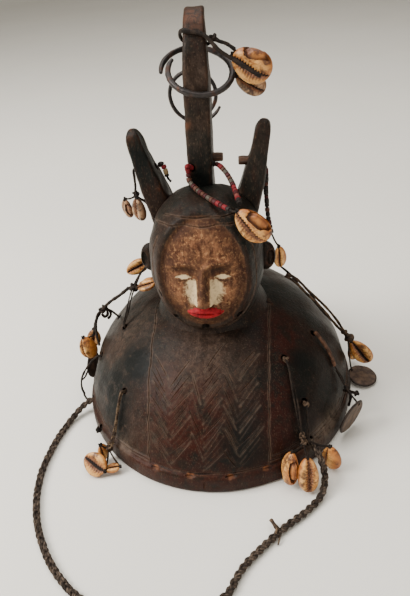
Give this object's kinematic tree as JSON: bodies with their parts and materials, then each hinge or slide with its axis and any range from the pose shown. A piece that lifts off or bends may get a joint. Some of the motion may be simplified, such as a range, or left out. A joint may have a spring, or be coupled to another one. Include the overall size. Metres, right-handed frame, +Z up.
{
  "type": "crest mask",
  "caption": "Carved wooden crest mask: an open dome carrying a small head and horns, hung with iron rings, thongs, bead strings, cowries, discs and a plaited chin strap.",
  "frame": {"origin": "middle of the rim's footprint, on the surface that the mask stands on", "axes": "+Z up along the tall horn, the carved face towards -Y, +X towards the viewer's right"},
  "size_m": [0.2683, 0.3527, 0.3055],
  "materials": {
    "wood": "dark, handled and dusty in its cuts",
    "peg_wood": "matte brown",
    "iron": "dark satin",
    "leather": "dry and dark",
    "hide": "dry and brown",
    "shell": "worn satin",
    "beads": "opaque satin",
    "disc": "matte grey-brown"
  },
  "bodies": {
    "root": {"carved_crest": "wood", "iron_ring_upper": "iron", "iron_ring_lower": "iron", "tall_horn_peg": "peg_wood", "right_horn_peg": "peg_wood", "horn_tie": "leather", "left_horn_thong": "leather", "ear_thong": "leather", "side_thong": "leather", "side_link": "leather", "side_loop": "leather", "left_front_thong": "leather", "right_front_thong": "leather", "right_side_thong": "leather", "silhouette_thong": "leather", "silhouette_strap": "hide", "cheek_strap": "hide", "cheek_thong": "leather", "rim_knot": "leather", "left_horn_beads": "beads", "crown_beads_left": "beads", "crown_beads_right": "beads", "right_horn_beads": "beads", "cowrie_horn_tie_upper": "shell", "cowrie_horn_tie_lower": "shell", "cowrie_left_horn_outer": "shell", "cowrie_left_horn_inner": "shell", "cowrie_forehead": "shell", "cowrie_right_ear": "shell", "cowrie_left_ear_upper": "shell", "cowrie_left_ear_lower": "shell", "cowrie_side_outer": "shell", "cowrie_side_inner": "shell", "cowrie_left_rim_open": "shell", "cowrie_left_rim_back": "shell", "cowrie_left_rim_low": "shell", "cowrie_right_rim_left": "shell", "cowrie_right_rim_middle": "shell", "cowrie_right_rim_far": "shell", "cowrie_silhouette": "shell", "cowrie_silhouette_inner": "shell", "disc_right_upper": "disc", "disc_right_lower": "disc", "disc_left": "disc", "chin_strap": "leather"}
  },
  "joints": []
}
